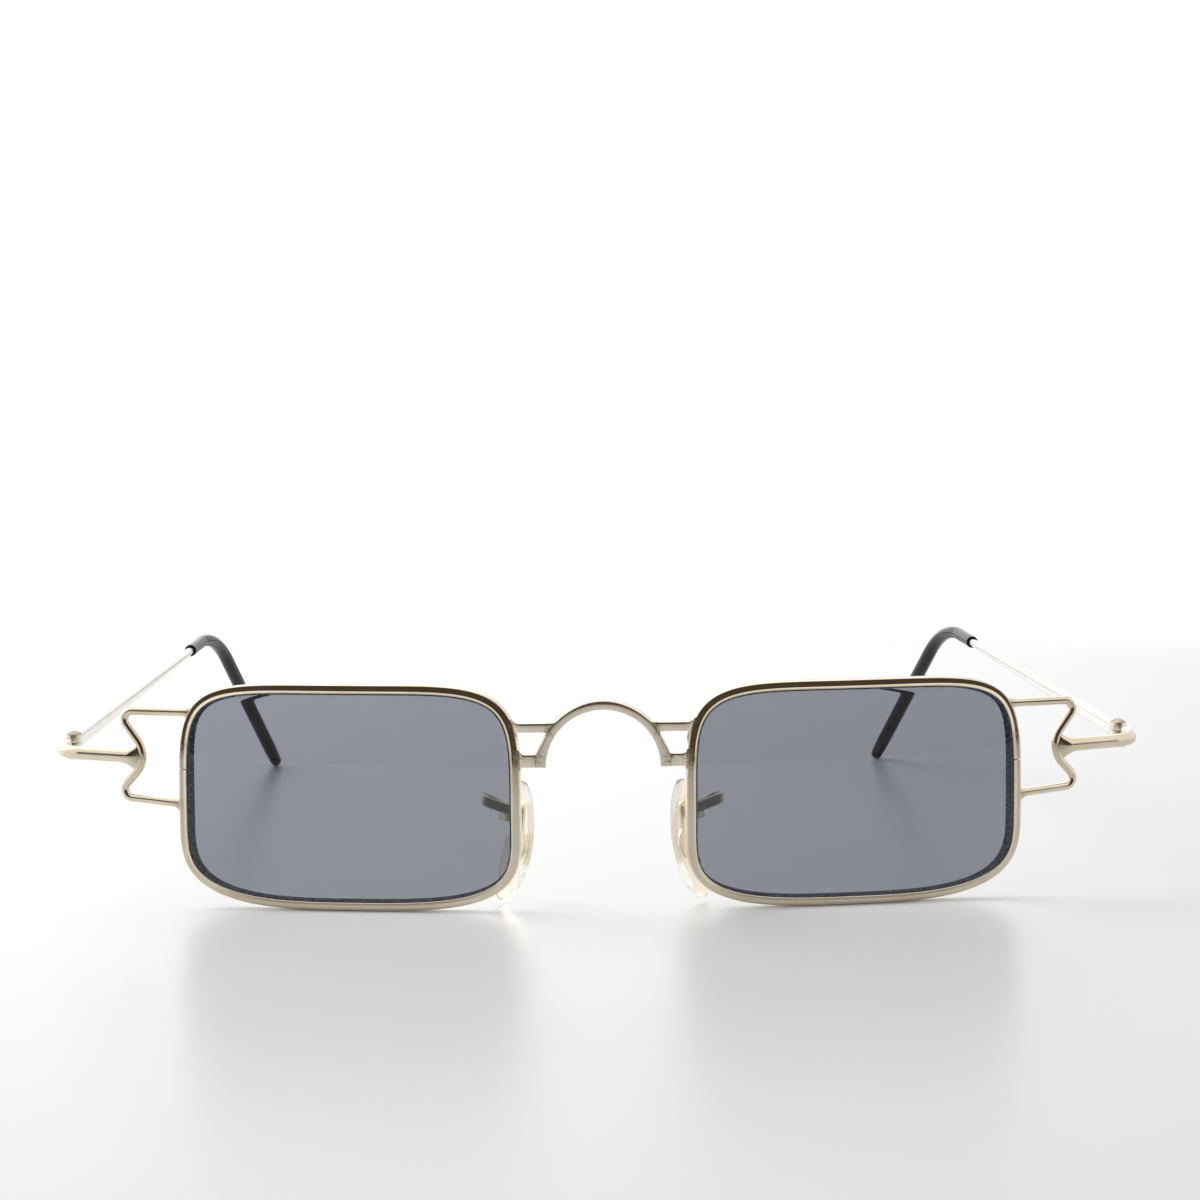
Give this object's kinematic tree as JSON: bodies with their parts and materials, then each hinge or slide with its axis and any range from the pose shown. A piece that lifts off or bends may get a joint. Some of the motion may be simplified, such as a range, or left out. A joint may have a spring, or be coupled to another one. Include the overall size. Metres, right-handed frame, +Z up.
{
  "type": "sunglasses",
  "caption": "Small square sunglasses: thin metal rims with an arched bridge, waved wire end pieces, rocking nose pads and folding temples with black sleeves.",
  "frame": {"origin": "on the table under the middle of the box that the open glasses fill", "axes": "+X towards the wearer's left side, +Y from the front back along the temples, +Z up; the front looks along -Y"},
  "size_m": [0.1364, 0.135, 0.0279],
  "materials": {
    "rim_metal": "polished pale nickel plating with a warm tint on the grooved rims",
    "bridge_metal": "polished pale nickel plating on the bridge",
    "wire_metal": "polished pale nickel plating on the end pieces",
    "temple_metal": "polished pale nickel plating on the temples",
    "fittings_metal": "polished pale nickel plating on hinges, screws and small fittings",
    "lens": "grey tinted, polished, with a frosted bevel at the edge",
    "nose_pad": "clear soft plastic, slightly yellowed",
    "sleeve": "glossy black plastic sleeve"
  },
  "bodies": {
    "front": {"eyewire_left": "rim_metal", "eyewire_right": "rim_metal", "lens_left": "lens", "lens_right": "lens", "rim_block_upper_left": "fittings_metal", "rim_block_upper_right": "fittings_metal", "rim_block_lower_left": "fittings_metal", "rim_block_lower_right": "fittings_metal", "rim_screw_left": "fittings_metal", "rim_screw_right": "fittings_metal", "bridge_arch": "bridge_metal", "bridge_bar_left": "bridge_metal", "bridge_bar_right": "bridge_metal", "bridge_block_left": "bridge_metal", "bridge_block_right": "bridge_metal", "pad_arm_left": "fittings_metal", "pad_arm_right": "fittings_metal", "pad_box_left": "fittings_metal", "pad_box_right": "fittings_metal", "pad_screw_left": "fittings_metal", "pad_screw_right": "fittings_metal", "end_wire_left": "wire_metal", "end_wire_right": "wire_metal", "end_arm_left": "wire_metal", "end_arm_right": "wire_metal", "hinge_front_left": "fittings_metal", "hinge_front_right": "fittings_metal", "hinge_screw_left": "fittings_metal", "hinge_screw_right": "fittings_metal"},
    "temple_left_body": {"hinge_temple_left": "fittings_metal", "temple_left": "temple_metal", "temple_sleeve_left": "sleeve"},
    "pad_left_body": {"nose_pad_left": "nose_pad", "pad_core_left": "fittings_metal"},
    "temple_right_body": {"hinge_temple_right": "fittings_metal", "temple_right": "temple_metal", "temple_sleeve_right": "sleeve"},
    "pad_right_body": {"nose_pad_right": "nose_pad", "pad_core_right": "fittings_metal"}
  },
  "joints": [
    {"name": "temple_fold_left", "type": "hinge", "parent": "front", "child": "temple_left_body", "pos_m": [0.0664, -0.04931, 0.0187], "axis": [0, 0, 1], "range_deg": [0, 84]},
    {"name": "temple_fold_right", "type": "hinge", "parent": "front", "child": "temple_right_body", "pos_m": [-0.0664, -0.04931, 0.0187], "axis": [0, 0, -1], "range_deg": [0, 78]},
    {"name": "pad_rock_left", "type": "hinge", "parent": "front", "child": "pad_left_body", "pos_m": [0.01125, -0.06057, 0.0114], "axis": [0.4067, 0.9135, 0], "range_deg": [-8, 8]},
    {"name": "pad_rock_right", "type": "hinge", "parent": "front", "child": "pad_right_body", "pos_m": [-0.01125, -0.06057, 0.0114], "axis": [-0.4067, 0.9135, 0], "range_deg": [-8, 8]}
  ]
}
